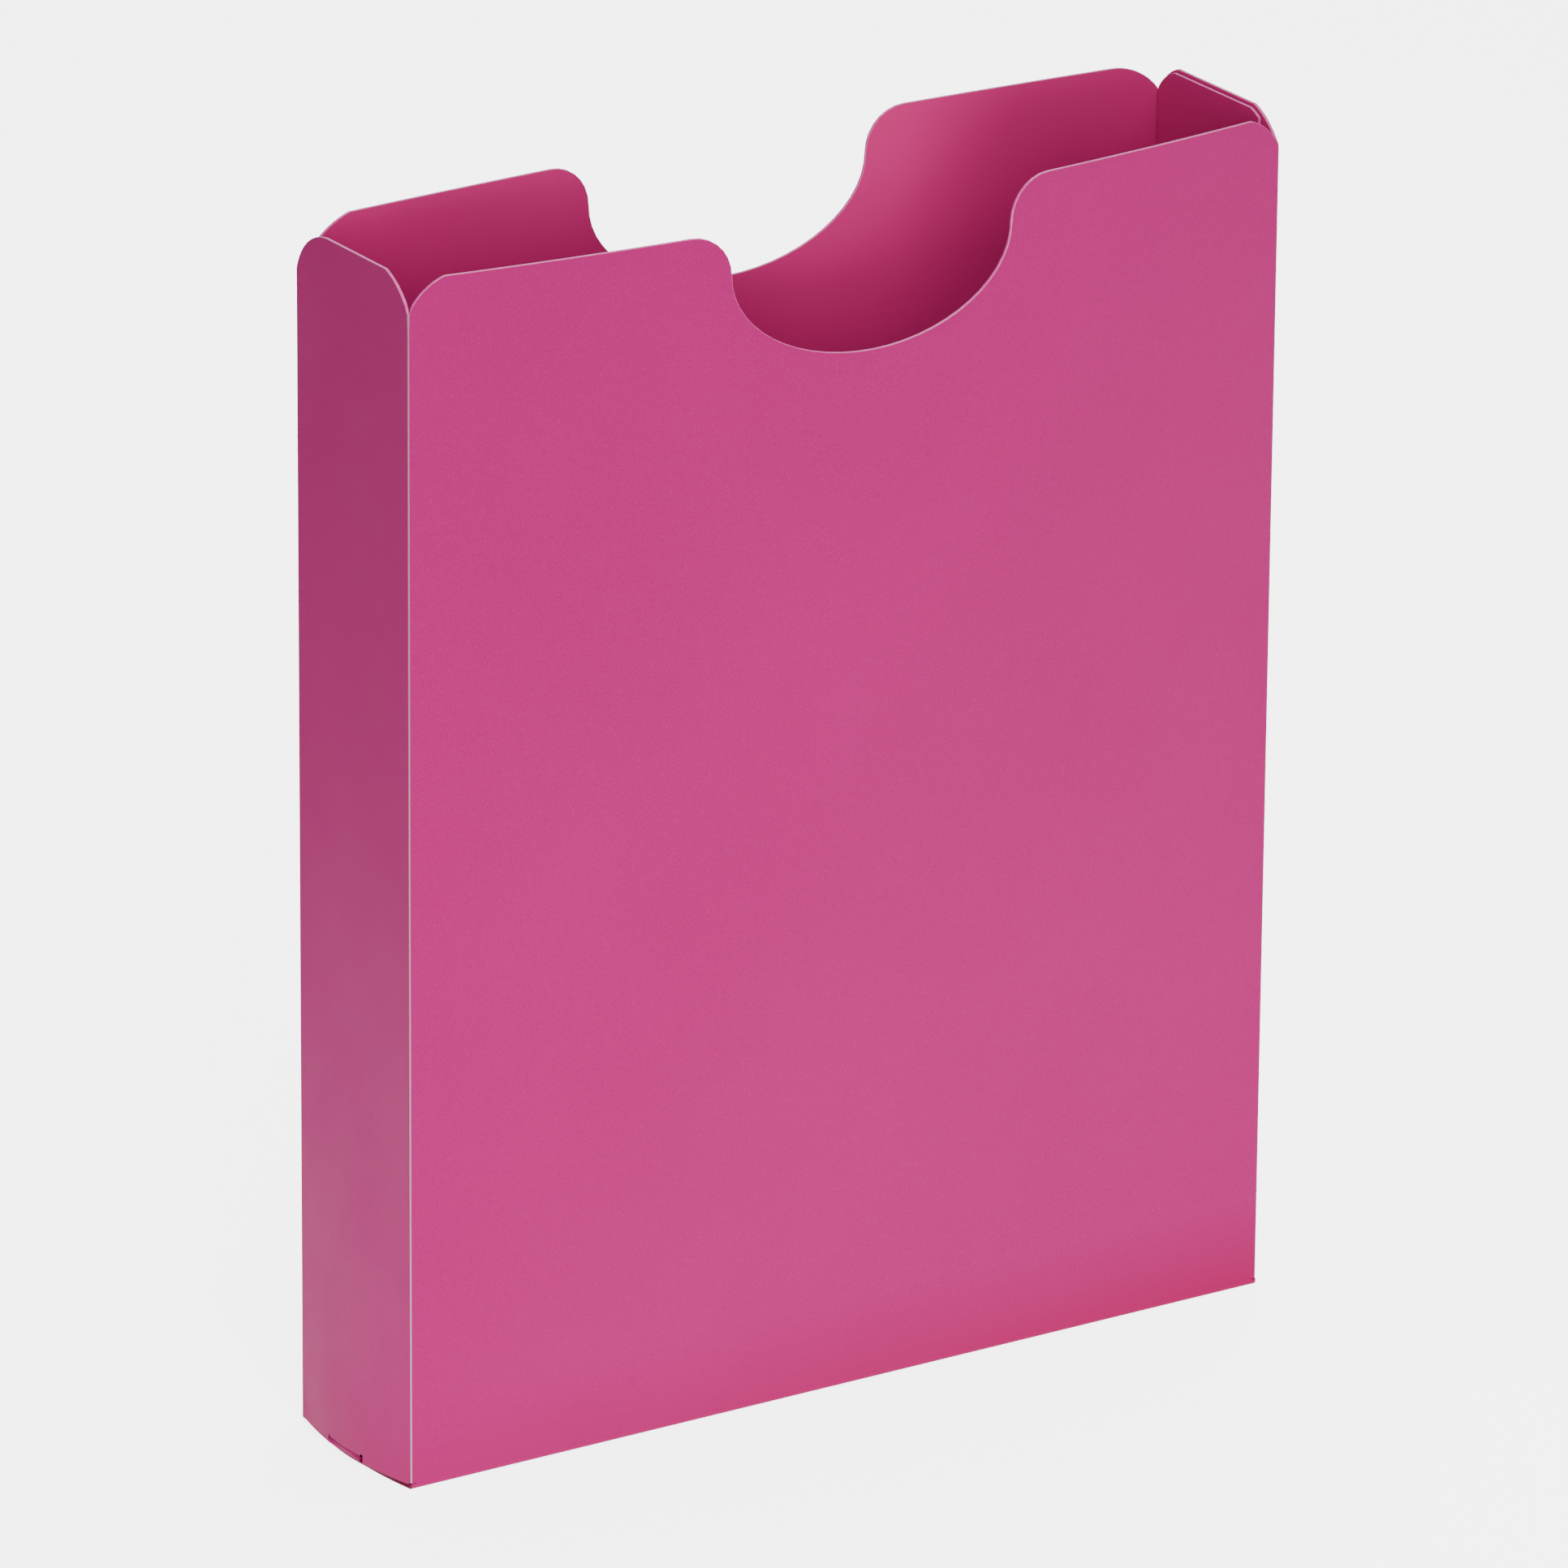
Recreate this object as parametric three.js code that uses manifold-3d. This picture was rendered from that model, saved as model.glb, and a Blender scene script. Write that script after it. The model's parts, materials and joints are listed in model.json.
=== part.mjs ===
// A magazine box for A4 booklets, folded from polypropylene sheet.
// Millimetres, +Z up. X runs along the wide front wall, the front faces -Y.
// The origin is the centre of the nominal footprint, on the surface that the box stands on.
// Each flat of the sheet is its own solid, and each crease is a thin web between two flats.

import * as THREE from 'three';
import { mergeVertices } from 'three/addons/utils/BufferGeometryUtils.js';
import Module from 'manifold-3d';

const wasm = await Module();
wasm.setup();

// Driving dimensions
const WIDTH = 250;
const DEPTH = 52;
const HEIGHT = 310;
const SHEET = 0.8;
const GAP = 0.3;

// Shape of the walls
const FRONT_BOW = 10;
const BACK_BOW = 5;
const END_BULGE = 3.6;
const BULGE_HEIGHT = 120;
const BULGE_EASE = 1.8;
const NOTCH_HALF_WIDTH = 40;
const NOTCH_ROUND_DEPTH = 25;
const NOTCH_SHOULDER_RADIUS = 11;

// Corner cuts of the walls: how far across the top and down the crease, and the radius of the arc between
const FRONT_CORNER = { across: 9.5, down: 9, radius: 16 };
const BACK_LEFT_CORNER = { across: 15.5, down: 14.5, radius: 24 };
const BACK_RIGHT_CORNER = { across: 14.7, down: 9, radius: 16.5 };
const END_FRONT_CORNER = { across: 10.5, down: 9, radius: 19 };
const LEFT_END_BACK_CORNER = { across: 14.9, down: 14.5, radius: 15 };
const RIGHT_END_BACK_CORNER = { across: 8.5, down: 9, radius: 12.5 };

// Creases
const WEB_RADIUS = 0.35;
const WEB_CLEARANCE = 0.7;
const HINGE_X = WIDTH / 2 - SHEET;
const HINGE_Y = DEPTH / 2 - SHEET;

// The doubled right end: the inner flap's free edge and its top stop short
const INNER_FLAP_OFFSET = SHEET + GAP;
const INNER_FLAP_SHORT_OF_FRONT = 6;
const INNER_FLAP_DROP = 0.8;
const OUTER_FLAP_SHORT_OF_BACK = 0.9;

// The bottom
const BOTTOM_TOP = SHEET;
const END_FOOT = BOTTOM_TOP + GAP;
const TONGUE_TOP = END_FOOT + SHEET;
const TONGUE_WIDTH = 15;
const TONGUE_LENGTH = 12;
const TONGUE_CORNER = 3;
const RELIEF_WIDTH = TONGUE_WIDTH + 0.8;
const BOTTOM_RECESS = 1.2;
const BOTTOM_EDGE_INSET = 0.1;
const LIP_OFFSET_FROM_BACK = 1.0;
const LIP_HALF_LENGTH = 105;
const LIP_TOP = 7.8;
const LIP_TAPER = 4;
const LIP_Y = HINGE_Y - LIP_OFFSET_FROM_BACK - SHEET;

// Mesh fineness
const PANEL_COLUMNS = 20;
const PANEL_ROWS = 8;
const END_COLUMNS = 10;
const END_ROWS = 14;
const CURVE_STEPS = 8;
const WEB_SIDES = 8;
const BEYOND = 20;

// --- Solids ---

function solidOf(geometry) {
  const bare = geometry.clone();
  bare.deleteAttribute('normal');
  bare.deleteAttribute('uv');
  const merged = mergeVertices(bare, 1e-4);
  const mesh = new wasm.Mesh({
    numProp: 3,
    vertProperties: new Float32Array(merged.getAttribute('position').array),
    triVerts: new Uint32Array(merged.index.array),
  });
  return new wasm.Manifold(mesh);
}

function geometryOf(solid) {
  const mesh = solid.getMesh();
  const geometry = new THREE.BufferGeometry();
  geometry.setAttribute('position', new THREE.BufferAttribute(mesh.vertProperties, 3));
  geometry.setIndex(new THREE.BufferAttribute(mesh.triVerts, 1));
  geometry.computeVertexNormals();
  return geometry;
}

function cut(geometry, cutters) {
  let solid = solidOf(geometry);
  for (const cutter of cutters) {
    solid = solid.subtract(solidOf(cutter));
  }
  return geometryOf(solid);
}

// A box between two corners, in columns and rows that can follow a bow
function boxBetween(low, high, steps = [1, 1, 1]) {
  const size = high.map((value, axis) => value - low[axis]);
  const geometry = new THREE.BoxGeometry(...size, ...steps);
  geometry.translate(...high.map((value, axis) => (value + low[axis]) / 2));
  return geometry;
}

// Moves each vertex by what shift(point) adds to it
function displaced(geometry, shift) {
  const positions = geometry.getAttribute('position');
  const point = new THREE.Vector3();
  for (let i = 0; i < positions.count; i += 1) {
    point.fromBufferAttribute(positions, i);
    shift(point);
    positions.setXYZ(i, point.x, point.y, point.z);
  }
  return geometry;
}

function extruded(shape, depth) {
  return new THREE.ExtrudeGeometry(shape, { depth, bevelEnabled: false, curveSegments: CURVE_STEPS });
}

// An outline in (x, z), made into a block that runs along Y from fromY to toY
function alongY(shape, fromY, toY) {
  const geometry = extruded(shape, toY - fromY);
  geometry.rotateX(Math.PI / 2);
  geometry.translate(0, toY, 0);
  return geometry;
}

// An outline in (y, z), made into a block that runs along X from fromX to toX
function alongX(shape, fromX, toX) {
  const geometry = extruded(shape, toX - fromX);
  geometry.rotateX(Math.PI / 2);
  geometry.rotateZ(Math.PI / 2);
  geometry.translate(fromX, 0, 0);
  return geometry;
}

// --- How far the sheet stands out from its flat box ---

function wallBow(bow, x, z) {
  const across = 1 - (x / HINGE_X) ** 2;
  const up = 1 - (1 - z / HEIGHT) ** 2;
  return bow * across * up;
}

function endBulge(y, z) {
  const across = Math.max(0, 1 - Math.abs(y / HINGE_Y) ** BULGE_EASE);
  const up = Math.max(0, 1 - z / BULGE_HEIGHT) ** 2;
  return END_BULGE * across * up;
}

// --- Cutters ---

// What is cut off a wall's top corner: all above an arc. side is 1 or -1.
function cornerCutShape(halfSpan, side, { across, down, radius }) {
  const low = new THREE.Vector2(halfSpan, HEIGHT - down);
  const high = new THREE.Vector2(halfSpan - across, HEIGHT);
  const chord = high.clone().sub(low);
  const inward = new THREE.Vector2(-chord.y, chord.x).normalize();
  const reach = Math.sqrt(radius ** 2 - chord.lengthSq() / 4);
  const centre = low.clone().add(high).multiplyScalar(0.5).addScaledVector(inward, reach);
  const from = Math.atan2(low.y - centre.y, low.x - centre.x);
  const to = Math.atan2(high.y - centre.y, high.x - centre.x);
  const arc = new THREE.EllipseCurve(centre.x, centre.y, radius, radius, from, to);
  const outline = [
    ...arc.getPoints(CURVE_STEPS),
    new THREE.Vector2(high.x, HEIGHT + BEYOND),
    new THREE.Vector2(halfSpan + BEYOND, HEIGHT + BEYOND),
    new THREE.Vector2(halfSpan + BEYOND, low.y),
  ];
  return new THREE.Shape(outline.map((point) => new THREE.Vector2(side * point.x, point.y)));
}

function notchShape() {
  const a = NOTCH_HALF_WIDTH;
  const r = NOTCH_SHOULDER_RADIUS;
  const shoulderZ = HEIGHT - r;
  const shape = new THREE.Shape();
  shape.moveTo(-a - r, HEIGHT + BEYOND);
  shape.lineTo(-a - r, HEIGHT);
  shape.absarc(-a - r, shoulderZ, r, Math.PI / 2, 0, true);
  shape.absellipse(0, shoulderZ, a, NOTCH_ROUND_DEPTH, Math.PI, 2 * Math.PI, false);
  shape.absarc(a + r, shoulderZ, r, Math.PI, Math.PI / 2, true);
  shape.lineTo(a + r, HEIGHT + BEYOND);
  return shape;
}

function tongueRelief() {
  const half = RELIEF_WIDTH / 2;
  const top = TONGUE_TOP + WEB_CLEARANCE;
  return boxBetween([-WIDTH, -half, -BEYOND], [WIDTH, half, top]);
}

// --- Flats of the sheet ---

// The front wall (side -1) or the back wall (side 1), with its thumb notch
function wideWall({ side, bow, foot, leftCorner, rightCorner }) {
  const halfSpan = HINGE_X - WEB_CLEARANCE;
  const inner = side * HINGE_Y;
  const outer = side * (HINGE_Y + SHEET);
  const low = [-halfSpan, Math.min(inner, outer), foot];
  const high = [halfSpan, Math.max(inner, outer), HEIGHT];
  const flat = boxBetween(low, high, [PANEL_COLUMNS, 1, PANEL_ROWS]);
  const bowed = displaced(flat, (point) => {
    point.y += side * wallBow(bow, point.x, point.z);
  });
  const fromY = Math.min(0, side * DEPTH);
  const toY = Math.max(0, side * DEPTH);
  const shapes = [
    cornerCutShape(WIDTH / 2, -1, leftCorner),
    cornerCutShape(WIDTH / 2, 1, rightCorner),
    notchShape(),
  ];
  return cut(bowed, shapes.map((shape) => alongY(shape, fromY, toY)));
}

// A narrow end wall. side is -1 for the left and 1 for the right, inset is how far inside it lies.
function endWall({ side, inset = 0, frontY, backY, top = HEIGHT, backCorner }) {
  const inner = side * (HINGE_X - inset);
  const outer = side * (HINGE_X - inset + SHEET);
  const low = [Math.min(inner, outer), frontY, END_FOOT];
  const high = [Math.max(inner, outer), backY, top];
  const flat = boxBetween(low, high, [1, END_COLUMNS, END_ROWS]);
  const bulged = displaced(flat, (point) => {
    point.x += side * endBulge(point.y, point.z);
  });
  const shapes = [
    cornerCutShape(DEPTH / 2, -1, END_FRONT_CORNER),
    cornerCutShape(DEPTH / 2, 1, backCorner),
  ];
  const corners = shapes.map((shape) => alongX(shape, -WIDTH, WIDTH).translate(0, 0, top - HEIGHT));
  return cut(bulged, [...corners, tongueRelief()]);
}

// Its ends follow the bulge of the end walls and draw in under the tongues
function bottomFlat() {
  const front = -HINGE_Y + WEB_CLEARANCE;
  const back = LIP_Y - WEB_CLEARANCE;
  const recessed = -RELIEF_WIDTH / 2;
  const steps = 2 * CURVE_STEPS;
  const edge = [];
  for (let i = 0; i <= steps; i += 1) {
    const y = front + ((back - front) * i) / steps;
    const recess = BOTTOM_RECESS * Math.min(1, (y + HINGE_Y) / (recessed + HINGE_Y));
    edge.push(new THREE.Vector2(WIDTH / 2 - BOTTOM_EDGE_INSET + endBulge(y, 0) - recess, y));
  }
  const mirrored = edge.map((point) => new THREE.Vector2(-point.x, point.y)).reverse();
  return extruded(new THREE.Shape([...edge, ...mirrored]), SHEET);
}

// The lip that tucks inside the back wall
function lipFlat() {
  const foot = BOTTOM_TOP + WEB_CLEARANCE;
  const shape = new THREE.Shape([
    new THREE.Vector2(-LIP_HALF_LENGTH, foot),
    new THREE.Vector2(LIP_HALF_LENGTH, foot),
    new THREE.Vector2(LIP_HALF_LENGTH - LIP_TAPER, LIP_TOP),
    new THREE.Vector2(-LIP_HALF_LENGTH + LIP_TAPER, LIP_TOP),
  ]);
  return alongY(shape, LIP_Y, LIP_Y + SHEET);
}

// X of the line where a tongue leaves its end wall
const TONGUE_HINGE_X = HINGE_X + endBulge(0, TONGUE_TOP);

// A tongue with rounded free corners. side is -1 for the left end and 1 for the right end.
function tongueFlat(side) {
  const root = TONGUE_HINGE_X - WEB_CLEARANCE;
  const tip = TONGUE_HINGE_X - TONGUE_LENGTH;
  const half = TONGUE_WIDTH / 2;
  const r = TONGUE_CORNER;
  const shape = new THREE.Shape();
  shape.moveTo(root, -half);
  shape.lineTo(root, half);
  shape.absarc(tip + r, half - r, r, Math.PI / 2, Math.PI, false);
  shape.absarc(tip + r, -half + r, r, Math.PI, 1.5 * Math.PI, false);
  const geometry = extruded(shape, SHEET);
  geometry.translate(0, 0, TONGUE_TOP - SHEET);
  if (side < 0) {
    geometry.rotateZ(Math.PI);
  }
  return geometry;
}

// --- Webs of the creases ---

function uprightWeb(foot, top) {
  const geometry = new THREE.CylinderGeometry(WEB_RADIUS, WEB_RADIUS, top - foot, WEB_SIDES);
  geometry.rotateX(Math.PI / 2);
  geometry.translate(0, 0, (foot + top) / 2);
  return geometry;
}

function webAlongX(halfLength) {
  const geometry = new THREE.CylinderGeometry(WEB_RADIUS, WEB_RADIUS, 2 * halfLength, WEB_SIDES);
  return geometry.rotateZ(Math.PI / 2);
}

function webAlongY(halfLength) {
  return new THREE.CylinderGeometry(WEB_RADIUS, WEB_RADIUS, 2 * halfLength, WEB_SIDES);
}

// --- The assembly ---

const PINK = 0xc54f89;
const DEEP_PINK = 0xb2326a;
const PALE_PINK = 0xe3a3c4;

const object = new THREE.Group();

function add(name, geometry, color, position = [0, 0, 0]) {
  const material = new THREE.MeshStandardMaterial({ color, roughness: 0.5, metalness: 0 });
  const mesh = new THREE.Mesh(geometry, material);
  mesh.name = name;
  mesh.position.set(...position);
  object.add(mesh);
}

const frontFoot = BOTTOM_TOP + WEB_CLEARANCE;
const endFrontY = -HINGE_Y + WEB_CLEARANCE;
const endBackY = HINGE_Y - WEB_CLEARANCE;

add('back_panel', wideWall({
  side: 1,
  bow: BACK_BOW,
  foot: 0,
  leftCorner: BACK_LEFT_CORNER,
  rightCorner: BACK_RIGHT_CORNER,
}), PINK);
add('front_panel', wideWall({
  side: -1,
  bow: FRONT_BOW,
  foot: frontFoot,
  leftCorner: FRONT_CORNER,
  rightCorner: FRONT_CORNER,
}), PINK);
add('left_end_panel', endWall({
  side: -1,
  frontY: endFrontY,
  backY: endBackY,
  backCorner: LEFT_END_BACK_CORNER,
}), PINK);
add('right_end_outer_panel', endWall({
  side: 1,
  frontY: endFrontY,
  backY: HINGE_Y - OUTER_FLAP_SHORT_OF_BACK,
  backCorner: RIGHT_END_BACK_CORNER,
}), PINK);
add('right_end_inner_panel', endWall({
  side: 1,
  inset: INNER_FLAP_OFFSET,
  frontY: -HINGE_Y + INNER_FLAP_SHORT_OF_FRONT,
  backY: endBackY,
  top: HEIGHT - INNER_FLAP_DROP,
  backCorner: RIGHT_END_BACK_CORNER,
}), DEEP_PINK);
add('bottom_panel', bottomFlat(), PINK);
add('bottom_tuck_lip', lipFlat(), DEEP_PINK);
add('left_bottom_tongue', tongueFlat(-1), DEEP_PINK);
add('right_bottom_tongue', tongueFlat(1), DEEP_PINK);

// Each upright crease: where its axis stands, and the corner cut that ends it
const uprightCreases = {
  back_left_crease: { x: -HINGE_X, y: HINGE_Y, corner: BACK_LEFT_CORNER },
  back_right_crease: { x: HINGE_X, y: HINGE_Y, corner: BACK_RIGHT_CORNER },
  front_left_crease: { x: -HINGE_X, y: -HINGE_Y, corner: FRONT_CORNER },
  front_right_crease: { x: HINGE_X, y: -HINGE_Y, corner: FRONT_CORNER },
};
const webFoot = END_FOOT + GAP;
for (const [name, { x, y, corner }] of Object.entries(uprightCreases)) {
  const webTop = HEIGHT - corner.down - SHEET;
  add(name, uprightWeb(webFoot, webTop), PALE_PINK, [x, y, 0]);
}

const bottomCreaseHalfLength = HINGE_X - WEB_CLEARANCE;
add('front_bottom_crease', webAlongX(bottomCreaseHalfLength), PALE_PINK, [0, -HINGE_Y, BOTTOM_TOP]);
add('tuck_lip_crease', webAlongX(LIP_HALF_LENGTH), PALE_PINK, [0, LIP_Y, BOTTOM_TOP]);
const tongueHalf = TONGUE_WIDTH / 2;
add('left_tongue_crease', webAlongY(tongueHalf), PALE_PINK, [-TONGUE_HINGE_X, 0, TONGUE_TOP]);
add('right_tongue_crease', webAlongY(tongueHalf), PALE_PINK, [TONGUE_HINGE_X, 0, TONGUE_TOP]);

export default object;
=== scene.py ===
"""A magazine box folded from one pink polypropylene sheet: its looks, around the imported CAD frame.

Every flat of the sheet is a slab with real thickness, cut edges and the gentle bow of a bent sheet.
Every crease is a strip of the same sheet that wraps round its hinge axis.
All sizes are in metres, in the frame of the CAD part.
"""

import json
import math

import bmesh
import bpy
import numpy as np
from mathutils import Matrix, Vector


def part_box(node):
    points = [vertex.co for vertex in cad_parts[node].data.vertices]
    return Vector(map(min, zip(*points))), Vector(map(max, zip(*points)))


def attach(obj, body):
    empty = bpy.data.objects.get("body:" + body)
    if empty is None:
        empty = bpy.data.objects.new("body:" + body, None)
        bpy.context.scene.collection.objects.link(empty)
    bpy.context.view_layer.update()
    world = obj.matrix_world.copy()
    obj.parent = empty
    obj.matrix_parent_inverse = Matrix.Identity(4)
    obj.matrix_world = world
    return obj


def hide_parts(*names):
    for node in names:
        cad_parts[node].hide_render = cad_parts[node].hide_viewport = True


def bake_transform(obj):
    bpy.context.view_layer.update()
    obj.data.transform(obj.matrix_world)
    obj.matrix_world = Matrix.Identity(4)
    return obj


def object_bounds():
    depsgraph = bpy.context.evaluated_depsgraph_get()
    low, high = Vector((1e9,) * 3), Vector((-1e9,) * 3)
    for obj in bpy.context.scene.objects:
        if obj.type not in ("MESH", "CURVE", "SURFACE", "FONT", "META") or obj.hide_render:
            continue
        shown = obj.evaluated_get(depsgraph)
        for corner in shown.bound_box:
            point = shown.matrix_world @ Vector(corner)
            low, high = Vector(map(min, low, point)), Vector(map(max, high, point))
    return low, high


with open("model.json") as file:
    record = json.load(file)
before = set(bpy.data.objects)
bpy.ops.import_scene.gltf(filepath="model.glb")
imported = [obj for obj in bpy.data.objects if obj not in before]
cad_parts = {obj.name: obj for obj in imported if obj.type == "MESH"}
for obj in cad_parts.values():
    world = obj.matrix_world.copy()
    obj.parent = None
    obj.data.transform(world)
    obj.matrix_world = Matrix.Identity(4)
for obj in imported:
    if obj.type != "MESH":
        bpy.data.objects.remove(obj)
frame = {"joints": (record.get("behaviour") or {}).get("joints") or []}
cad_low, cad_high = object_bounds()

MM = 0.001

# Sizes read from the frame -------------------------------------------------------------------
JOINT_AT = {j["name"]: Vector(j["pos_m"]) for j in frame["joints"]}
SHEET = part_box("bottom_panel")[1].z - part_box("bottom_panel")[0].z
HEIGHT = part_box("front_panel")[1].z
HINGE_X = JOINT_AT["front_right_fold"].x
HINGE_Y = JOINT_AT["fold_flat"].y
OUTER_X = HINGE_X + SHEET
OUTER_Y = HINGE_Y + SHEET
BOTTOM_HINGE_Z = JOINT_AT["bottom_fold"].z
TONGUE_HINGE_X = JOINT_AT["right_tongue_fold"].x
TONGUE_HINGE_Z = JOINT_AT["right_tongue_fold"].z
LIP_HINGE_Y = JOINT_AT["tuck_lip_fold"].y
WALL_EDGE = HINGE_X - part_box("front_panel")[1].x        # from a hinge axis to the edge of a flat
FRONT_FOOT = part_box("front_panel")[0].z
BACK_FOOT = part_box("back_panel")[0].z
END_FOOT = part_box("left_end_panel")[0].z
INNER_LAYER_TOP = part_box("right_end_inner_panel")[1].z
INNER_LAYER_FREE_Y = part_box("right_end_inner_panel")[0].y
INNER_LAYER_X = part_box("right_end_inner_panel")[0].x
OUTER_LAYER_FREE_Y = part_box("right_end_outer_panel")[1].y
BOTTOM_BACK_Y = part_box("bottom_panel")[1].y
BOTTOM_INSET = 0.1 * MM                                 # from the ends' outside to the bottom's sides
BOTTOM_SIDE_X = OUTER_X - BOTTOM_INSET
LIP_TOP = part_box("bottom_tuck_lip")[1].z
LIP_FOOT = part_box("bottom_tuck_lip")[0].z
LIP_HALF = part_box("bottom_tuck_lip")[1].x
TONGUE_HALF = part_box("left_bottom_tongue")[1].y
TONGUE_TIP = -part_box("left_bottom_tongue")[1].x

# Notch and corner cuts -----------------------------------------------------------------------
NOTCH_HALF = 40 * MM
NOTCH_DROP = 25 * MM
SHOULDER_RADIUS = 11 * MM
NOTCH_SPRING = HEIGHT - SHOULDER_RADIUS                 # height where shoulders meet the half-ellipse
NOTCH_FLOOR = NOTCH_SPRING - NOTCH_DROP


def corner_cut(crease, across, radius):
    """A wall's corner cut: how far across its top, how far down to its crease, and its arc's radius."""
    return across * MM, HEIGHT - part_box(crease)[1].z - SHEET, radius * MM


FRONT_LEFT_CORNER = corner_cut("front_left_crease", 9.5, 16)
FRONT_RIGHT_CORNER = corner_cut("front_right_crease", 9.5, 16)
BACK_LEFT_CORNER = corner_cut("back_left_crease", 15.5, 24)
BACK_RIGHT_CORNER = corner_cut("back_right_crease", 14.7, 16.5)
LEFT_END_FRONT_CORNER = corner_cut("front_left_crease", 10.5, 19)
LEFT_END_BACK_CORNER = corner_cut("back_left_crease", 14.9, 15)
RIGHT_END_FRONT_CORNER = corner_cut("front_right_crease", 10.5, 19)
RIGHT_END_BACK_CORNER = corner_cut("back_right_crease", 8.5, 12.5)

# Bow of the wide walls and bulge of the ends ---------------------------------------------------
BOW_AT_NOTCH = 1 - (1 - NOTCH_FLOOR / HEIGHT) ** 2
FRONT_BOW = (-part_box("front_panel")[0].y - OUTER_Y) / BOW_AT_NOTCH
BACK_BOW = (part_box("back_panel")[1].y - OUTER_Y) / BOW_AT_NOTCH
BULGE_TOP = 120 * MM
BULGE = (-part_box("left_end_panel")[0].x - OUTER_X) / (1 - END_FOOT / BULGE_TOP) ** 2
BULGE_EASE = 1.8

# Foot details ----------------------------------------------------------------------------------
RELIEF_CLEARANCE = 0.4 * MM
RELIEF_HALF = TONGUE_HALF + RELIEF_CLEARANCE
RELIEF_TOP = TONGUE_HINGE_Z + WALL_EDGE
BOTTOM_RECESS = 1.2 * MM
TONGUE_CORNER = 3 * MM
LIP_TAPER = 4 * MM
STEP = 0.01 * MM                                        # half the width of a square step in an outline
FOOT_ROW = 1.2 * MM                                     # height of a wall's lowest row of faces

# How a sheet is cut and folded -------------------------------------------------------------------
BEVEL = 0.13 * MM                                       # roundness of a die-cut edge
FOLD_FILLET = 0.22 * MM                                 # inside radius of a crease
FOLD_CLEARANCE = 0.05 * MM                              # from the front's foot fold to the upright creases
BLEND_HALF = 0.45 * MM                                  # half the width over which a crease bends

# How fine the meshes are -------------------------------------------------------------------------
UPRIGHT_ROWS = 64                                       # up a wall or an upright crease
ARC_POINTS = 15                                         # along a corner arc or half a thumb notch
STRAIGHT_POINTS = 15                                    # between a thumb notch and a corner arc
FOLD_STEPS = 8                                          # round the turn of a crease
FLAT_STEPS = 3                                          # across each flat beside the turn
BOTTOM_ROWS, BOTTOM_COLUMNS = 50, 70
LIP_ROWS, LIP_COLUMNS = 6, 60
TONGUE_COLUMNS = 12
BOTTOM_CREASE_POINTS = 80                               # along each of the level creases
LIP_CREASE_POINTS = 60
TONGUE_CREASE_POINTS = 10


# Surfaces ------------------------------------------------------------------------------------
def wall_bow(bow, x, z):
    """How far a wide wall leans out of its plane, nothing at its creases and at its foot."""
    return bow * (1 - (x / HINGE_X) ** 2) * (1 - (1 - z / HEIGHT) ** 2)


def end_bulge(y, z):
    """How far an end wall stands out near its foot, where the tongue's straight crease pushes it."""
    across = np.maximum(0, 1 - np.abs(y / HINGE_Y) ** BULGE_EASE)
    return BULGE * across * np.maximum(0, 1 - z / BULGE_TOP) ** 2


def points(x, y, z):
    """Three arrays or numbers as one array of points."""
    return np.stack(np.broadcast_arrays(x, y, z), axis=-1).astype(float)


def front_face(x, z):
    return points(x, -HINGE_Y - wall_bow(FRONT_BOW, x, z), z)


def back_face(x, z):
    return points(x, HINGE_Y + wall_bow(BACK_BOW, x, z), z)


def left_face(y, z):
    return points(-HINGE_X - end_bulge(y, z), y, z)


def right_face(y, z):
    return points(HINGE_X + end_bulge(y, z), y, z)


def inner_layer_face(y, z):
    return points(INNER_LAYER_X + end_bulge(y, z), y, z)


def bottom_face(x, y):
    return points(x, y, BOTTOM_HINGE_Z)


def outward(face, u, v, side):
    """Unit normals of a face function. side is the sign, 1 or -1, that makes them point out of the box."""
    nudge = 0.05 * MM
    along_u = face(u + nudge, v) - face(u - nudge, v)
    along_v = face(u, v + nudge) - face(u, v - nudge)
    normal = side * np.cross(along_u, along_v)
    return normal / np.linalg.norm(normal, axis=-1, keepdims=True)


# Outlines ------------------------------------------------------------------------------------
def corner_top(inward, corner):
    """Height of a wall's top at a distance in from the box's outer corner: an arc, then the straight edge."""
    across, down, radius = corner
    chord = math.hypot(across, down)
    reach = math.sqrt(max(0.0, radius ** 2 - (chord / 2) ** 2))
    centre_in = across / 2 + reach * down / chord
    centre_z = HEIGHT - down / 2 - reach * across / chord
    s = np.clip(inward, 0, across)
    arc = centre_z + np.sqrt(np.maximum(0, radius ** 2 - (s - centre_in) ** 2))
    return np.where(np.asarray(inward) >= across, HEIGHT, arc)


def wide_top(left_corner, right_corner):
    """Top edge of a front or back wall: corner arcs, straight runs and the thumb notch."""
    def top(x):
        a = np.abs(x)
        ellipse = NOTCH_SPRING - NOTCH_DROP * np.sqrt(np.clip(1 - (a / NOTCH_HALF) ** 2, 0, 1))
        from_shoulder = np.clip(NOTCH_HALF + SHOULDER_RADIUS - a, 0, SHOULDER_RADIUS)
        shoulder = NOTCH_SPRING + np.sqrt(SHOULDER_RADIUS ** 2 - from_shoulder ** 2)
        cuts = np.where(x < 0, corner_top(OUTER_X - a, left_corner), corner_top(OUTER_X - a, right_corner))
        return np.where(a <= NOTCH_HALF, ellipse, np.where(a < NOTCH_HALF + SHOULDER_RADIUS, shoulder, cuts))
    return top


def end_top(front_corner, back_corner, drop=0.0):
    """Top edge of an end wall, or of a layer of it that stops short of the full height."""
    def top(y):
        inward = OUTER_Y - np.abs(y)
        return np.where(y < 0, corner_top(inward, front_corner), corner_top(inward, back_corner)) - drop
    return top


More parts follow.
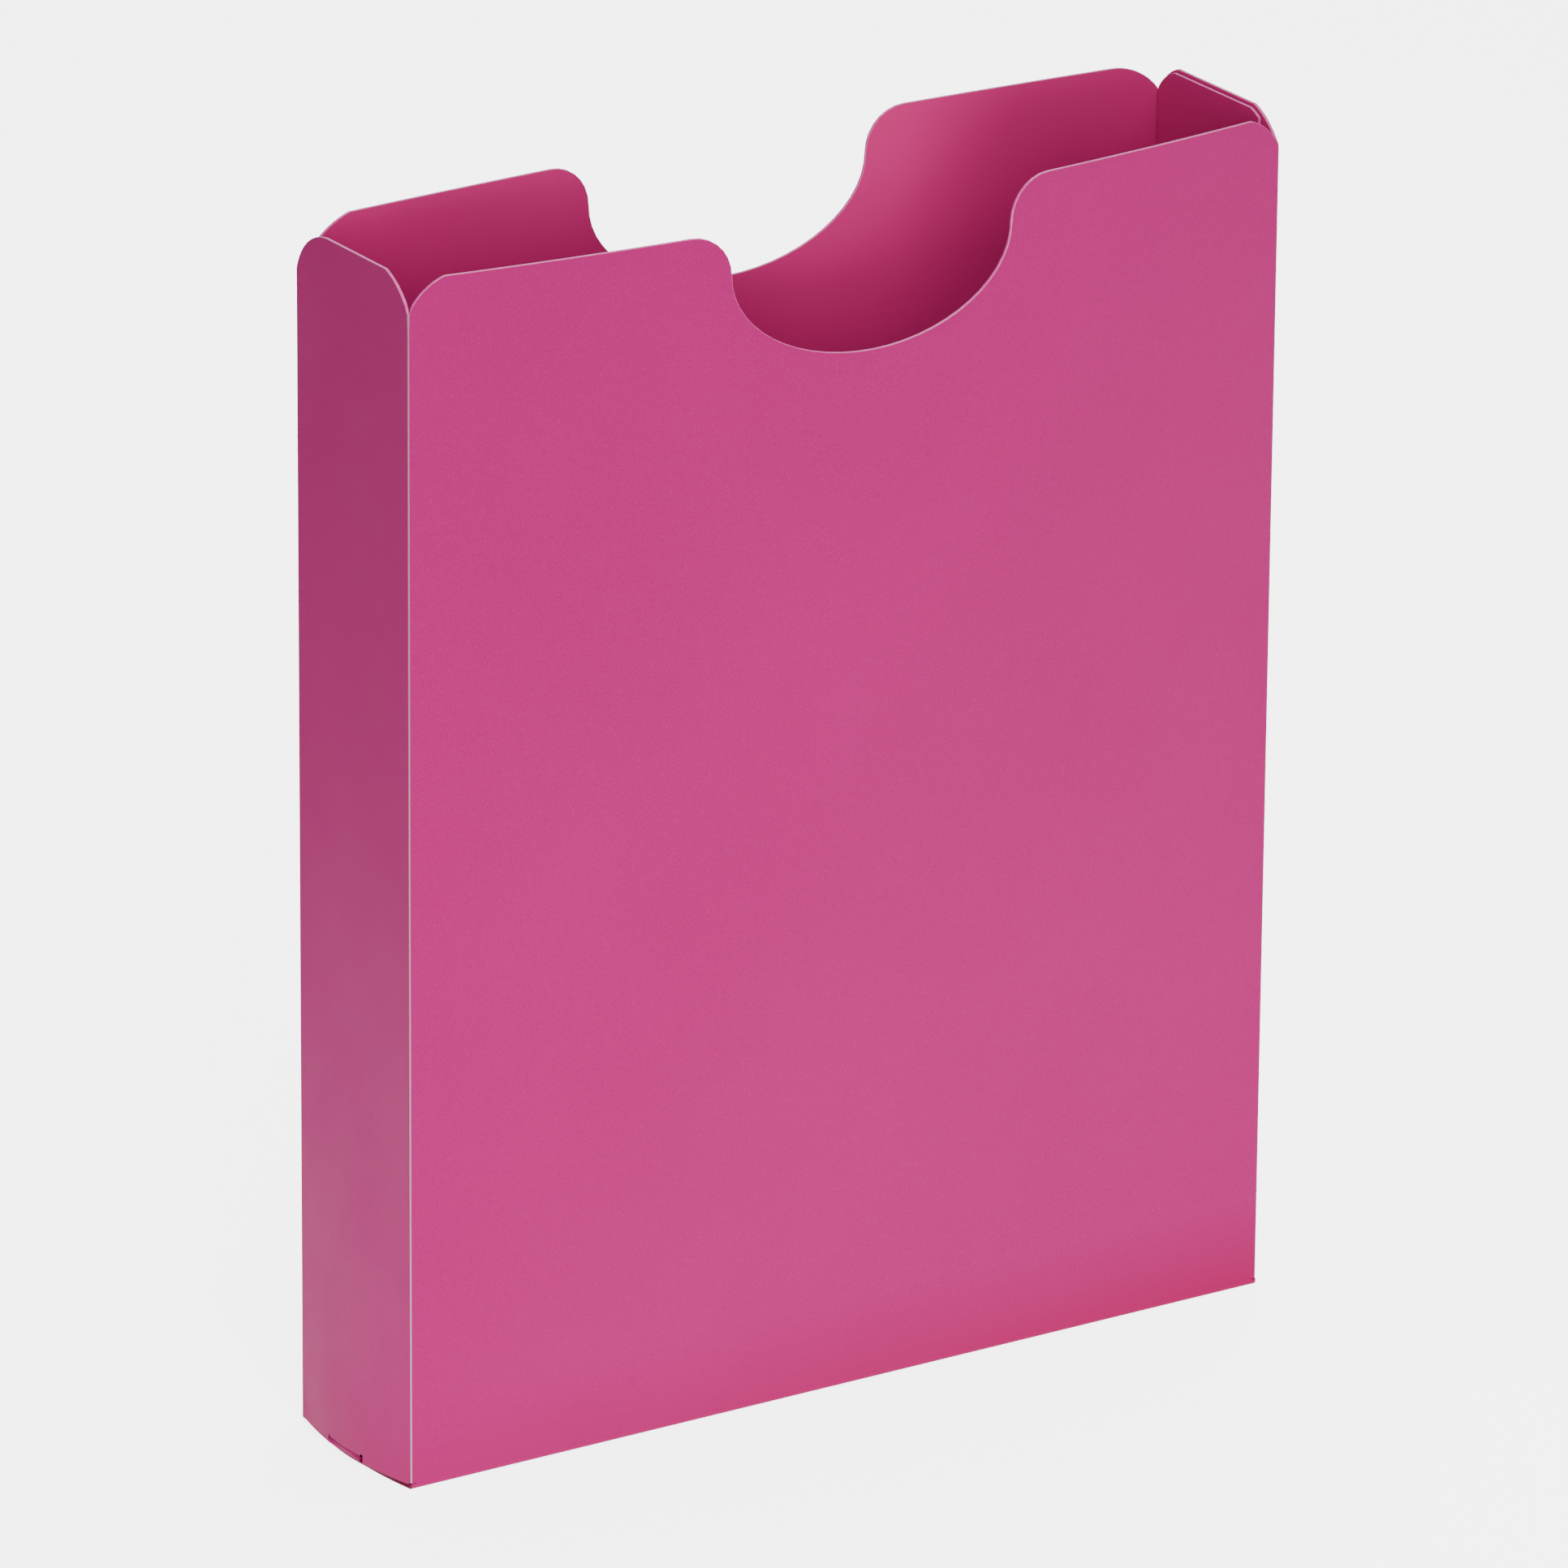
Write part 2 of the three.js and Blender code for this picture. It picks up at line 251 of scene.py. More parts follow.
def end_foot(y):
    """Foot of an end wall: raised over the tongue's crease."""
    return np.where(np.abs(y) < RELIEF_HALF, RELIEF_TOP, END_FOOT)


def bottom_half_width(y):
    """Half the width of the bottom, which draws in under the tongues and stays drawn in behind them."""
    recess = BOTTOM_RECESS * np.clip((y + HINGE_Y) / (HINGE_Y - RELIEF_HALF), 0, 1)
    return BOTTOM_SIDE_X + end_bulge(y, 0) - recess


def corner_columns(outer, edge, corner):
    """Distances from a wall's middle, through its corner arc, to its edge beside the crease."""
    start = outer - corner[0]
    return start + (edge - start) * np.sin(np.linspace(0, math.pi / 2, ARC_POINTS))


def wide_columns(left_corner, right_corner):
    """Places along a wide wall, close together where its top edge turns."""
    quarter = np.linspace(0, math.pi / 2, ARC_POINTS)
    notch = NOTCH_HALF * np.sin(quarter)
    shoulder = NOTCH_HALF + SHOULDER_RADIUS * (1 - np.cos(quarter[2::2]))
    halves = []
    for corner in (left_corner, right_corner):
        straight = np.linspace(shoulder[-1], OUTER_X - corner[0], STRAIGHT_POINTS)[1:-1]
        outer = corner_columns(OUTER_X, HINGE_X - WALL_EDGE, corner)
        halves.append(np.concatenate([notch, shoulder, straight, outer]))
    return np.concatenate([-halves[0][::-1], halves[1][1:]])


def end_columns(front_corner, back_corner, low=None, high=None):
    """Places along an end wall, with square steps where the tongue's relief starts."""
    relief = [RELIEF_HALF - STEP, RELIEF_HALF + STEP]
    middle = np.concatenate([np.linspace(0, RELIEF_HALF, 5)[:-1], relief])
    halves = []
    for corner in (front_corner, back_corner):
        straight = np.linspace(RELIEF_HALF + STEP, OUTER_Y - corner[0], 4)[1:-1]
        outer = corner_columns(OUTER_Y, HINGE_Y - WALL_EDGE, corner)
        halves.append(np.concatenate([middle, straight, outer]))
    columns = np.concatenate([-halves[0][::-1], halves[1][1:]])
    low = columns[0] if low is None else low
    high = columns[-1] if high is None else high
    inside = columns[(columns > low + 2 * STEP) & (columns < high - 2 * STEP)]
    return np.concatenate([[low], inside, [high]])


# Mesh building -------------------------------------------------------------------------------
OUTSIDE_SKIN, INSIDE_SKIN, CUT_EDGE = 0, 1, 2
LEAST_MITRE = 0.3                                       # keeps a sharp corner from running out to a spike
BEVEL_MIDDLE = 0.3                                      # where the ring half-way round a bevel lies


def sides_of(rows, cols):
    """Grid places along the four sides of a sheet, in order round it."""
    return {
        "foot": [(0, c) for c in range(cols)],
        "right": [(r, cols - 1) for r in range(rows)],
        "top": [(rows - 1, c) for c in reversed(range(cols))],
        "left": [(r, 0) for r in reversed(range(rows))],
    }


def edge_directions(inside, outside, cuts):
    """For each grid place on a cut side, the way out of the sheet in its own plane."""
    rows, cols = inside.shape[:2]
    middle = (inside + outside) / 2
    through = outside - inside
    centre = middle.reshape(-1, 3).mean(0)
    found = {}
    for side, places in sides_of(rows, cols).items():
        if side not in cuts:
            continue
        r, c = np.array(places).T
        line = middle[r, c]
        out = np.cross(np.diff(line, axis=0), through[r, c][1:])
        out /= np.linalg.norm(out, axis=1, keepdims=True)
        if np.sum(out * (line[1:] - centre)) < 0:
            out = -out
        before = np.concatenate([out[:1], out])
        after = np.concatenate([out, out[-1:]])
        for place, first, second in zip(places, before, after):
            found.setdefault(place, []).append(mitre(first, second))
    return {place: mitre(ways[0], ways[-1]) for place, ways in found.items()}


def mitre(first, second):
    """The way out of a corner between two sides, so long that both sides move out by the same distance."""
    return (first + second) / max(LEAST_MITRE, 1 + first @ second)


def grid_faces(rows, cols, first, flip):
    """Quads of a grid of points that starts at index first."""
    faces = []
    for r in range(rows - 1):
        for c in range(cols - 1):
            a = first + r * cols + c
            quad = (a, a + 1, a + cols + 1, a + cols)
            faces.append(quad[::-1] if flip else quad)
    return faces


def edge_rings(rim_out, rim_in, way):
    """Four rings of points round a sheet's edge, two for the bevel at each of its faces."""
    share = BEVEL / SHEET
    half_way = BEVEL_MIDDLE * share
    steps = ((BEVEL_MIDDLE, half_way), (0, share), (0, 1 - share), (BEVEL_MIDDLE, 1 - half_way))
    return [rim_out + (rim_in - rim_out) * depth - BEVEL * back_off * way for back_off, depth in steps]


def edge_faces(loops, cut):
    """Quads between each loop of points and the next, and their skins. cut tells which places are die-cut."""
    faces, kinds = [], []
    for upper, lower in zip(loops, loops[1:]):
        for i in range(len(cut)):
            j = (i + 1) % len(cut)
            faces.append((upper[j], upper[i], lower[i], lower[j]))
            kinds.append(CUT_EDGE if cut[i] and cut[j] else OUTSIDE_SKIN)
    return faces, kinds


def slab(name, inside, outside, cuts=("foot", "right", "top", "left"), fold=None):
    """A sheet between two grids of points. Sides in cuts are die-cut edges, others butt against a crease.

    fold says for each grid point how pale a crease's scuff and painted highlight make the sheet there, or
    below zero how dark its painted shade makes it.
    """
    rows, cols = inside.shape[:2]
    ways = edge_directions(inside, outside, cuts)
    around = []
    for places in sides_of(rows, cols).values():
        around.extend(places[:-1])
    way = np.array([ways.get(p, np.zeros(3)) for p in around])
    r, c = np.array(around).T
    rim_out, rim_in = outside[r, c].copy(), inside[r, c].copy()
    outside, inside = outside.copy(), inside.copy()
    outside[r, c] -= BEVEL * way
    inside[r, c] -= BEVEL * way
    rings = edge_rings(rim_out, rim_in, way)
    count, lap = rows * cols, len(around)
    verts = np.concatenate([outside.reshape(-1, 3), inside.reshape(-1, 3), *rings])
    faces = grid_faces(rows, cols, 0, False) + grid_faces(rows, cols, count, True)
    kinds = [OUTSIDE_SKIN] * (len(faces) // 2) + [INSIDE_SKIN] * (len(faces) // 2)
    outer_loop = [p[0] * cols + p[1] for p in around]
    inner_loop = [count + i for i in outer_loop]
    ring_loops = [[2 * count + k * lap + i for i in range(lap)] for k in range(len(rings))]
    band, band_kinds = edge_faces([outer_loop, *ring_loops, inner_loop], [place in ways for place in around])
    faces += band
    kinds += band_kinds
    mesh = bpy.data.meshes.new(name)
    mesh.from_pydata(verts.tolist(), [], faces)
    mesh.polygons.foreach_set("material_index", kinds)
    mesh.polygons.foreach_set("use_smooth", [True] * len(faces))
    creased = np.zeros(len(verts), np.float32)
    if fold is not None:
        creased[:count] = fold.ravel()
        creased[count:2 * count] = fold.ravel()
        creased[2 * count:] = np.tile(fold[r, c], len(rings))
    mesh.attributes.new("fold", "FLOAT", "POINT").data.foreach_set("value", creased)
    tidy_normals(mesh)
    crisp_rims(mesh, [outer_loop, inner_loop])
    obj = bpy.data.objects.new(name, mesh)
    bpy.context.scene.collection.objects.link(obj)
    for skin in (sheet_outside, sheet_inside_painted_light, cut_edge):
        mesh.materials.append(skin)
    return obj


def tidy_normals(mesh):
    """Turns every face outwards."""
    work = bmesh.new()
    work.from_mesh(mesh)
    bmesh.ops.recalc_face_normals(work, faces=work.faces)
    work.to_mesh(mesh)
    work.free()


def crisp_rims(mesh, loops):
    """Marks the borders between flat and cut edge sharp, so that the flats shade flat."""
    sharp = set()
    for loop in loops:
        for i, j in zip(loop, loop[1:] + loop[:1]):
            sharp.add((min(i, j), max(i, j)))
    marks = [tuple(sorted(e.vertices)) in sharp for e in mesh.edges]
    layer = mesh.attributes.get("sharp_edge") or mesh.attributes.new("sharp_edge", "BOOLEAN", "EDGE")
    layer.data.foreach_set("value", marks)


def wall(name, face, side, columns, foot, top, cuts):
    """A flat of the sheet that stands up. The lowest row follows its foot, the next is level."""
    low, high = foot(columns)[None, :], top(columns)[None, :]
    base = low.max() + FOOT_ROW
    z = base + (high - base) * np.linspace(0, 1, UPRIGHT_ROWS - 1)[:, None]
    z = np.concatenate([low, z])
    u = np.broadcast_to(columns[None, :], z.shape)
    inside = face(u, z)
    outside = inside + SHEET * outward(face, u, z, side)
    return slab(name, inside, outside, cuts)


def turn_points(side_a, side_b, v, turn):
    """Inner and outer points of a crease's turn, at a share of its angle from side a to side b."""
    hinge, normal_a = side_a(0.0, v)
    normal_b = side_b(0.0, v)[1]
    cosine = np.sum(normal_a * normal_b, axis=1, keepdims=True)
    angle = np.arccos(np.clip(cosine, -1, 1))
    way = np.sin((1 - turn) * angle) * normal_a + np.sin(turn * angle) * normal_b
    way /= np.linalg.norm(way, axis=1, keepdims=True)
    centre = hinge - FOLD_FILLET * (normal_a + normal_b) / (1 + cosine)
    return centre + FOLD_FILLET * way, hinge + SHEET * way


def flat_points(side, v, share):
    """Inner and outer points of the narrow flat beside a crease's turn, at a share of its width."""
    inner = side(FOLD_FILLET + (WALL_EDGE - FOLD_FILLET) * share, v)[0]
    base, normal = side(WALL_EDGE * share, v)
    return inner, base + SHEET * normal


def bend_across(side_a, side_b, place):
    """The hinge's point at a place along a crease, and half the width over which it bends there."""
    at = np.array([place])
    hinge, normal_a = (p[0] for p in side_a(0.0, at))
    normal_b = side_b(0.0, at)[1][0]
    across = normal_b - normal_a
    return hinge, BLEND_HALF * across / np.linalg.norm(across)


def fold_strip(name, bodies, node, side_a, side_b, low, high, rows, scuff_and_painted_light=1.0):
    """The sheet in a crease: a narrow flat, a tight turn round the hinge axis, a narrow flat.

    side_a and side_b give (inner points, outward normals) at a distance from the hinge axis and at places
    along it. low and high give where the strip starts and ends, for a distance and a share of the turn.
    The last argument says how pale the turn is painted, a scuff and a painted highlight, or below zero how
    dark, as painted shade.
    """
    columns = [(side_a, share, 0.0) for share in np.linspace(1, 0, FLAT_STEPS + 1)[:-1]]
    columns += [(None, 0.0, turn) for turn in np.linspace(0, 1, FOLD_STEPS + 1)]
    columns += [(side_b, share, 1.0) for share in np.linspace(0, 1, FLAT_STEPS + 1)[1:]]
    rise = np.linspace(0, 1, rows)
    inside, outside, fold = [], [], []
    for flat, share, turn in columns:
        start, end = low(share, turn), high(share, turn)
        v = start + (end - start) * rise
        if flat is None:
            inner, outer = turn_points(side_a, side_b, v, turn)
        else:
            inner, outer = flat_points(flat, v, share)
        inside.append(inner)
        outside.append(outer)
        from_middle = abs(turn - 0.5) * 4
        fold.append(np.full(rows, scuff_and_painted_light * max(0.0, 1 - from_middle)))
    inside, outside = np.stack(inside, axis=1), np.stack(outside, axis=1)
    obj = slab(name, inside, outside, ("foot", "top"), np.stack(fold, axis=1))
    middle = rise[len(rise) // 2] * (low(0, 0.5) + high(0, 0.5))
    hinge, across = bend_across(side_a, side_b, middle)
    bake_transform(obj)
    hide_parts(node)


# Materials -----------------------------------------------------------------------------------
PINK = (0.177, 0.003, 0.062, 1)
PINK_CLOUD = (0.170, 0.0028, 0.059, 1)
# Painted shade and pink bounce light, in a band just above the floor
PAINTED_FOOT_SHADE_PINK = (0.160, 0.001, 0.040, 1)
# Painted light: the inside is a brighter copy of the sheet's pink, standing in for light inside the box
INSIDE_PINK_PAINTED_LIGHT = (0.43, 0.018, 0.135, 1)
INSIDE_CLOUD_PAINTED_LIGHT = (0.415, 0.017, 0.128, 1)
SPECK_PINK = (0.32, 0.05, 0.16, 1)
# Cut-edge pinks are paler than the sheet, partly the cut itself and partly a painted highlight
EDGE_PINK_AND_PAINTED_HIGHLIGHT = (0.40, 0.04, 0.18, 1)
PALE_EDGE_PINK_AND_PAINTED_HIGHLIGHT = (0.50, 0.08, 0.27, 1)
# Painted shade on cut edges just above the floor
PAINTED_SHADE_EDGE_RED = (0.06, 0.0005, 0.009, 1)
# Crease greys: a scuff and a painted highlight, painted darker towards the top as shade
HIGH_CREASE_GREY_PAINTED_SHADE = (0.17, 0.10, 0.13, 1)
LOW_CREASE_GREY_PAINTED_HIGHLIGHT = (0.24, 0.15, 0.185, 1)
# Painted shade in creases that face down
PAINTED_SHADE_CREASE_RED = (0.10, 0.001, 0.018, 1)
SPECULAR_PINK = (1.0, 0.08, 0.45, 1)
GLOSS = 0.06                                            # specular level of the sheet where it faces the eye
GLOSS_FADES = (0.35, 0.75)                              # facing at which the gloss starts to go and is gone
PAINTED_FOOT_SHADE_HEIGHTS = (24 * MM, 2 * MM)                           # heights where the painted shade just above the floor starts and is full
PAINTED_EDGE_SHADE_HEIGHTS = (4.5 * MM, 3 * MM)                          # heights where painted shade on a cut edge starts, and is full

# Scales of the noise patterns, larger is finer
CLOUDS = 14
SPECKS = 3200
GLOSS_PATCHES = 60
RIPPLES = 9
GRAIN = 2200
EDGE_STREAKS = 900
EDGE_PATCHES = 400
EDGE_ROUGHNESS = 3000


def new_material(name):
    """A material with its node tree, its principled shader and a node adder."""
    material = bpy.data.materials.new(name)
    material.use_nodes = True
    tree = material.node_tree
    return material, tree, tree.nodes["Principled BSDF"]


def noise(tree, scale, detail, coords):
    """A noise pattern over the object's own coordinates."""
    node = tree.nodes.new("ShaderNodeTexNoise")
    node.inputs["Scale"].default_value = scale
    node.inputs["Detail"].default_value = detail
    tree.links.new(coords, node.inputs["Vector"])
    return node.outputs["Fac"]


def ramp(tree, value, low, high, out_low=0.0, out_high=1.0):
    """Maps a value between low and high onto out_low to out_high, and stays within them."""
    node = tree.nodes.new("ShaderNodeMapRange")
    for name, number in (("From Min", low), ("From Max", high), ("To Min", out_low), ("To Max", out_high)):
        node.inputs[name].default_value = number
    tree.links.new(value, node.inputs["Value"])
    return node.outputs["Result"]


def mix(tree, share, first, second):
    """Mixes two colours, each a socket or a fixed colour."""
    node = tree.nodes.new("ShaderNodeMix")
    node.data_type = "RGBA"
    tree.links.new(share, node.inputs["Factor"])
    for socket, colour in ((node.inputs["A"], first), (node.inputs["B"], second)):
        if isinstance(colour, tuple):
            socket.default_value = colour
        else:
            tree.links.new(colour, socket)
    return node.outputs["Result"]


def times(tree, first, second):
    """Product of a value and another value or a number."""
    node = tree.nodes.new("ShaderNodeMath")
    node.operation = "MULTIPLY"
    tree.links.new(first, node.inputs[0])
    if isinstance(second, float):
        node.inputs[1].default_value = second
    else:
        tree.links.new(second, node.inputs[1])
    return node.outputs["Value"]


def bump(tree, height, strength, distance, below=None):
    """Fine relief from a height, over another relief when below is given."""
    node = tree.nodes.new("ShaderNodeBump")
    node.inputs["Strength"].default_value = strength
    node.inputs["Distance"].default_value = distance
    tree.links.new(height, node.inputs["Height"])
    if below is not None:
        tree.links.new(below, node.inputs["Normal"])
    return node.outputs["Normal"]


def sheet_skin(name, grain, roughness, base, cloud, foot=None):
    """Coloured polypropylene: cloudy colour, fine grain, and creases that are scuffed pale with a painted
    highlight, or darkened by painted shade.

    foot is a deeper, darker colour painted just above the floor as shade and pink bounce light, more so
    towards the right.
    """
    material, tree, shader = new_material(name)
    coords = tree.nodes.new("ShaderNodeTexCoord").outputs["Object"]
    clouds = ramp(tree, noise(tree, CLOUDS, 3, coords), 0.35, 0.65)
    colour = mix(tree, clouds, base, cloud)
    specks = ramp(tree, noise(tree, SPECKS, 2, coords), 0.45, 0.75, 0, 0.12)
    colour = mix(tree, specks, colour, SPECK_PINK)
    place = tree.nodes.new("ShaderNodeSeparateXYZ")
    tree.links.new(coords, place.inputs["Vector"])
    if foot is not None:
        # Painted shade: a deeper, darker band just above the floor, stronger towards the right
        painted_shade_low = ramp(tree, place.outputs["Z"], *PAINTED_FOOT_SHADE_HEIGHTS)
        shade_to_the_right = ramp(tree, place.outputs["X"], -OUTER_X, OUTER_X, 0.35, 1.0)
        colour = mix(tree, times(tree, painted_shade_low, shade_to_the_right), colour, foot)
    fold = tree.nodes.new("ShaderNodeAttribute")
    fold.attribute_name = "fold"
    # Crease pallor is a scuff and a painted highlight, painted darker towards the top as shade
    scuffed_and_highlit = ramp(tree, fold.outputs["Fac"], 0.05, 0.6)
    crease_scuff_highlight_and_shade = mix(tree, ramp(tree, place.outputs["Z"], HEIGHT, 0), HIGH_CREASE_GREY_PAINTED_SHADE, LOW_CREASE_GREY_PAINTED_HIGHLIGHT)
    colour = mix(tree, scuffed_and_highlit, colour, crease_scuff_highlight_and_shade)
    # Painted shade in creases that face down
    shaded = ramp(tree, fold.outputs["Fac"], -0.05, -0.6)
    colour = mix(tree, shaded, colour, PAINTED_SHADE_CREASE_RED)
    tree.links.new(colour, shader.inputs["Base Color"])
    gloss = ramp(tree, noise(tree, GLOSS_PATCHES, 4, coords), 0.3, 0.7, roughness - 0.04, roughness + 0.05)
    tree.links.new(gloss, shader.inputs["Roughness"])
    facing = tree.nodes.new("ShaderNodeLayerWeight").outputs["Facing"]
    tree.links.new(ramp(tree, facing, *GLOSS_FADES, GLOSS, 0.0), shader.inputs["Specular IOR Level"])
    shader.inputs["Specular Tint"].default_value = SPECULAR_PINK
    shader.inputs["Sheen Weight"].default_value = 0.01
    shader.inputs["Sheen Roughness"].default_value = 0.5
    ripples = bump(tree, noise(tree, RIPPLES, 2, coords), 0.25, 0.6 * MM)
    fine = bump(tree, noise(tree, GRAIN, 3, coords), grain, 0.05 * MM, ripples)
    tree.links.new(fine, shader.inputs["Normal"])
    return material


def edge_skin():
    """A die-cut edge: paler, partly the translucent cut itself and partly a painted highlight, slightly
    streaked where the knife went through, and deep red painted shade next to the floor.
    """
    material, tree, shader = new_material("pink_cut_edge")
    coords = tree.nodes.new("ShaderNodeTexCoord").outputs["Object"]
    streaks = ramp(tree, noise(tree, EDGE_STREAKS, 3, coords), 0.3, 0.7)
    # Paler edge colour: the cut itself and a painted highlight
    colour = mix(tree, streaks, EDGE_PINK_AND_PAINTED_HIGHLIGHT, PALE_EDGE_PINK_AND_PAINTED_HIGHLIGHT)
    place = tree.nodes.new("ShaderNodeSeparateXYZ")
    tree.links.new(coords, place.inputs["Vector"])
    # Painted shade: cut edges go deep red just above the floor
    painted_shade_low = ramp(tree, place.outputs["Z"], *PAINTED_EDGE_SHADE_HEIGHTS)
    colour = mix(tree, painted_shade_low, colour, PAINTED_SHADE_EDGE_RED)
    tree.links.new(colour, shader.inputs["Base Color"])
    gloss = ramp(tree, noise(tree, EDGE_PATCHES, 2, coords), 0.3, 0.7, 0.32, 0.45)
    tree.links.new(gloss, shader.inputs["Roughness"])
    tree.links.new(ramp(tree, painted_shade_low, 0, 1, 0.4, 0.03), shader.inputs["Specular IOR Level"])
    rough = bump(tree, noise(tree, EDGE_ROUGHNESS, 2, coords), 0.3, 0.03 * MM)
    tree.links.new(rough, shader.inputs["Normal"])
    return material


sheet_outside = sheet_skin("pink_sheet_outside", 0.5, 0.46, PINK, PINK_CLOUD, PAINTED_FOOT_SHADE_PINK)
# The inside skin's brighter pink is painted light
sheet_inside_painted_light = sheet_skin("pink_sheet_inside_painted_light", 0.2, 0.42, INSIDE_PINK_PAINTED_LIGHT, INSIDE_CLOUD_PAINTED_LIGHT)
cut_edge = edge_skin()


# The walls -----------------------------------------------------------------------------------
def level(height):
    """An outline at one height."""
    return lambda u: np.full(np.shape(u), height)


def stand_for(obj, body, node):
    """Lets a flat ride its body in place of the CAD node that it shows."""
    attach(obj, body)
    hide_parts(node)


def make_wide_walls():
    for name, body, face, side, foot, corners in (
        ("front_wall", "front", front_face, 1, FRONT_FOOT, (FRONT_LEFT_CORNER, FRONT_RIGHT_CORNER)),
        ("back_wall", "back", back_face, -1, BACK_FOOT, (BACK_LEFT_CORNER, BACK_RIGHT_CORNER)),
    ):
        cuts = ("top",) if name == "front_wall" else ("foot", "top")
        obj = wall(name, face, side, wide_columns(*corners), level(foot), wide_top(*corners), cuts)
        stand_for(obj, body, name.replace("wall", "panel"))


def make_end_walls():
    corners = (LEFT_END_FRONT_CORNER, LEFT_END_BACK_CORNER)
    columns = end_columns(*corners)
    left = wall("left_end_wall", left_face, -1, columns, end_foot, end_top(*corners), ("foot", "top"))
    stand_for(left, "left_end", "left_end_panel")
    corners = (RIGHT_END_FRONT_CORNER, RIGHT_END_BACK_CORNER)
    columns = end_columns(*corners, high=OUTER_LAYER_FREE_Y)
    outer = wall("right_end_outer_layer", right_face, 1, columns, end_foot, end_top(*corners),
                 ("foot", "top", "right"))
    stand_for(outer, "right_outer", "right_end_outer_panel")
    columns = end_columns(*corners, low=INNER_LAYER_FREE_Y)
    inner = wall("right_end_inner_layer", inner_layer_face, 1, columns, end_foot,
                 end_top(*corners, drop=HEIGHT - INNER_LAYER_TOP), ("foot", "top", "left"))
    stand_for(inner, "right_inner", "right_end_inner_panel")


def make_bottom():
    y = np.linspace(-HINGE_Y + WALL_EDGE, BOTTOM_BACK_Y, BOTTOM_ROWS)[:, None]
    x = np.linspace(-1, 1, BOTTOM_COLUMNS)[None, :] * bottom_half_width(y)
    y = np.broadcast_to(y, x.shape)
    inside = bottom_face(x, y)
    outside = inside - points(0, 0, SHEET)
    obj = slab("bottom_flat", inside, outside, ("right", "top", "left"))
    stand_for(obj, "bottom", "bottom_panel")


def make_lip():
    z = np.linspace(LIP_FOOT, LIP_TOP, LIP_ROWS)[:, None]
    half = LIP_HALF - LIP_TAPER * (z - LIP_FOOT) / (LIP_TOP - LIP_FOOT)
    x = np.linspace(-1, 1, LIP_COLUMNS)[None, :] * half
    inside = points(x, LIP_HINGE_Y, z)
    obj = slab("bottom_back_lip", inside, inside + points(0, SHEET, 0), ("right", "top", "left"))
    stand_for(obj, "tuck_lip", "bottom_tuck_lip")


def make_tongues():
    """Two tongues that fold in over the bottom. across is +1 on the right and -1 on the left."""
    rounded = TONGUE_CORNER * (1 - np.cos(np.linspace(0, math.pi / 2, 8)))
    straight = np.linspace(TONGUE_CORNER, TONGUE_HINGE_X - WALL_EDGE - TONGUE_TIP, 6)[1:]
    from_tip = np.concatenate([rounded, straight])
    rounding = np.clip(TONGUE_CORNER - from_tip, 0, TONGUE_CORNER)
    half = TONGUE_HALF - TONGUE_CORNER + np.sqrt(TONGUE_CORNER ** 2 - rounding ** 2)
    for across, name, node in (
        (-1, "left_tongue", "left_bottom_tongue"),
        (1, "right_tongue", "right_bottom_tongue"),
    ):
        y = np.linspace(-1, 1, TONGUE_COLUMNS)[None, :] * half[:, None]
        x = np.broadcast_to(across * (TONGUE_TIP + from_tip)[:, None], y.shape)
        inside = points(x, y, TONGUE_HINGE_Z)
        obj = slab(name, inside, inside - points(0, 0, SHEET), ("foot", "right", "left"))
        stand_for(obj, name, node)


# The creases ---------------------------------------------------------------------------------
def wide_side(face, side, across):
    """A wide wall beside the crease at its left (across -1) or right (+1) edge."""
    def at(distance, z):
        x = np.full(np.shape(z), across * (HINGE_X - distance))
        return face(x, z), outward(face, x, z, side)
    return at


def end_side(face, side, across):
    """An end wall beside the crease at its front (across -1) or back (+1) edge."""
    def at(distance, z):
        y = np.full(np.shape(z), across * (HINGE_Y - distance))
        return face(y, z), outward(face, y, z, side)
    return at


def inner_layer_side(distance, z):
    """The right end's inner layer beside the back wall: it steps in from the hinge to its own plane."""
    y = np.full(np.shape(z), HINGE_Y - distance)
    step = np.clip(distance / WALL_EDGE, 0, 1)
    face = (1 - step) * right_face(y, z) + step * inner_layer_face(y, z)
    return face, outward(right_face, y, z, 1)


def upright_top(corner_a, corner_b, drop_b=0.0):
    """Top of an upright crease: the corner arcs of its two walls meet in a small V."""
    def top(share, turn):
        corner = corner_a if turn < 0.5 else corner_b
        quarter = turn * math.pi / 2
        inward = SHEET * (1 - min(math.sin(quarter), math.cos(quarter)))
        if turn in (0, 1):
            inward = SHEET + WALL_EDGE * share
        return float(corner_top(inward, corner)) - drop_b * share * turn
    return top


def upright_foot(foot_a, foot_b):
    """Foot of an upright crease: one wall's foot as far as the end of the turn, then the other's."""
    return lambda share, turn: foot_b if turn == 1 and share > 0 else foot_a


def sloping_foot(foot_a, foot_b):
    """Foot of an upright crease that runs evenly from one wall's foot to the other's."""
    return lambda share, turn: foot_a + (foot_b - foot_a) * turn


